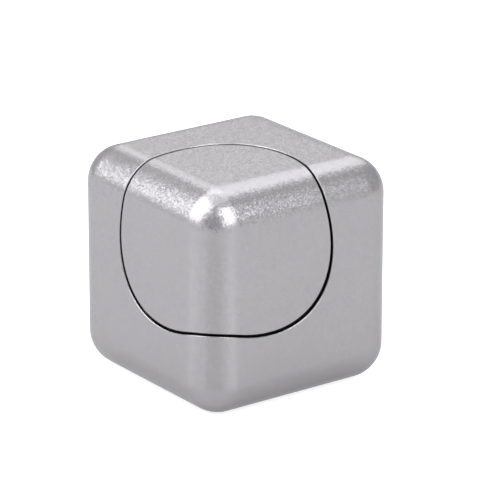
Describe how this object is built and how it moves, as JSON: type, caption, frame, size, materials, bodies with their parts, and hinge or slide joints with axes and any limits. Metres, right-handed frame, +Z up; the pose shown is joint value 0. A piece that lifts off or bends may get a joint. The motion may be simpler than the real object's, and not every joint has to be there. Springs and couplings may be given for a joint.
{
  "type": "fidget cube",
  "caption": "Rounded metal cube that spins about its body diagonal: two opposite corners are round plugs held between finger and thumb, on a ball bearing at the cube's centre.",
  "frame": {"origin": "centre of the bottom face, on which the cube stands", "axes": "+Z up, X and Y along the cube's edges; the front corner cap is at the +X, -Y, +Z corner and the rear one at the -X, +Y, -Z corner"},
  "size_m": [0.028, 0.028, 0.028],
  "materials": {
    "blasted_aluminium": "bead-blasted and anodised, silver",
    "bearing_steel": "ground bearing steel",
    "ball_steel": "polished bearing steel",
    "sheet_steel": "pressed bright sheet steel",
    "stainless_steel": "turned stainless steel"
  },
  "bodies": {
    "cube": {"cube_body": "blasted_aluminium", "bearing_outer_ring": "bearing_steel", "front_shield": "sheet_steel", "rear_shield": "sheet_steel", "front_snap_ring": "sheet_steel", "rear_snap_ring": "sheet_steel"},
    "core": {"front_corner_cap": "blasted_aluminium", "rear_corner_cap": "blasted_aluminium", "axle": "stainless_steel", "front_spacer": "stainless_steel", "rear_spacer": "stainless_steel", "bearing_inner_ring": "bearing_steel"},
    "cage": {"cage_front_half": "sheet_steel", "cage_rear_half": "sheet_steel", "cage_rivet_1": "sheet_steel", "cage_rivet_2": "sheet_steel", "cage_rivet_3": "sheet_steel", "cage_rivet_4": "sheet_steel", "cage_rivet_5": "sheet_steel", "cage_rivet_6": "sheet_steel", "cage_rivet_7": "sheet_steel"},
    "ball_1": {"ball_1": "ball_steel"},
    "ball_2": {"ball_2": "ball_steel"},
    "ball_3": {"ball_3": "ball_steel"},
    "ball_4": {"ball_4": "ball_steel"},
    "ball_5": {"ball_5": "ball_steel"},
    "ball_6": {"ball_6": "ball_steel"},
    "ball_7": {"ball_7": "ball_steel"}
  },
  "joints": [
    {"name": "core_spin", "type": "hinge", "parent": "cube", "child": "core", "pos_m": [0, 0, 0.014], "axis": [0.5774, -0.5774, 0.5774], "continuous": true},
    {"name": "cage_orbit", "type": "hinge", "parent": "cube", "child": "cage", "pos_m": [0, 0, 0.014], "axis": [0.5774, -0.5774, 0.5774], "continuous": true},
    {"name": "ball_1_roll", "type": "hinge", "parent": "cage", "child": "ball_1", "pos_m": [0.0053, 0.0053, 0.014], "axis": [0.5774, -0.5774, 0.5774], "continuous": true},
    {"name": "ball_2_roll", "type": "hinge", "parent": "cage", "child": "ball_2", "pos_m": [0.00091, 0.0057, 0.01879], "axis": [0.5774, -0.5774, 0.5774], "continuous": true},
    {"name": "ball_3_roll", "type": "hinge", "parent": "cage", "child": "ball_3", "pos_m": [-0.00417, 0.0018, 0.01997], "axis": [0.5774, -0.5774, 0.5774], "continuous": true},
    {"name": "ball_4_roll", "type": "hinge", "parent": "cage", "child": "ball_4", "pos_m": [-0.00611, -0.00345, 0.01666], "axis": [0.5774, -0.5774, 0.5774], "continuous": true},
    {"name": "ball_5_roll", "type": "hinge", "parent": "cage", "child": "ball_5", "pos_m": [-0.00345, -0.00611, 0.01134], "axis": [0.5774, -0.5774, 0.5774], "continuous": true},
    {"name": "ball_6_roll", "type": "hinge", "parent": "cage", "child": "ball_6", "pos_m": [0.0018, -0.00417, 0.00803], "axis": [0.5774, -0.5774, 0.5774], "continuous": true},
    {"name": "ball_7_roll", "type": "hinge", "parent": "cage", "child": "ball_7", "pos_m": [0.0057, 0.00091, 0.00921], "axis": [0.5774, -0.5774, 0.5774], "continuous": true}
  ],
  "couplings": [
    {"joint": "cage_orbit", "follows": "core_spin", "ratio": 0.3677},
    {"joint": "ball_1_roll", "follows": "core_spin", "ratio": -1.7573},
    {"joint": "ball_2_roll", "follows": "core_spin", "ratio": -1.7573},
    {"joint": "ball_3_roll", "follows": "core_spin", "ratio": -1.7573},
    {"joint": "ball_4_roll", "follows": "core_spin", "ratio": -1.7573},
    {"joint": "ball_5_roll", "follows": "core_spin", "ratio": -1.7573},
    {"joint": "ball_6_roll", "follows": "core_spin", "ratio": -1.7573},
    {"joint": "ball_7_roll", "follows": "core_spin", "ratio": -1.7573}
  ]
}
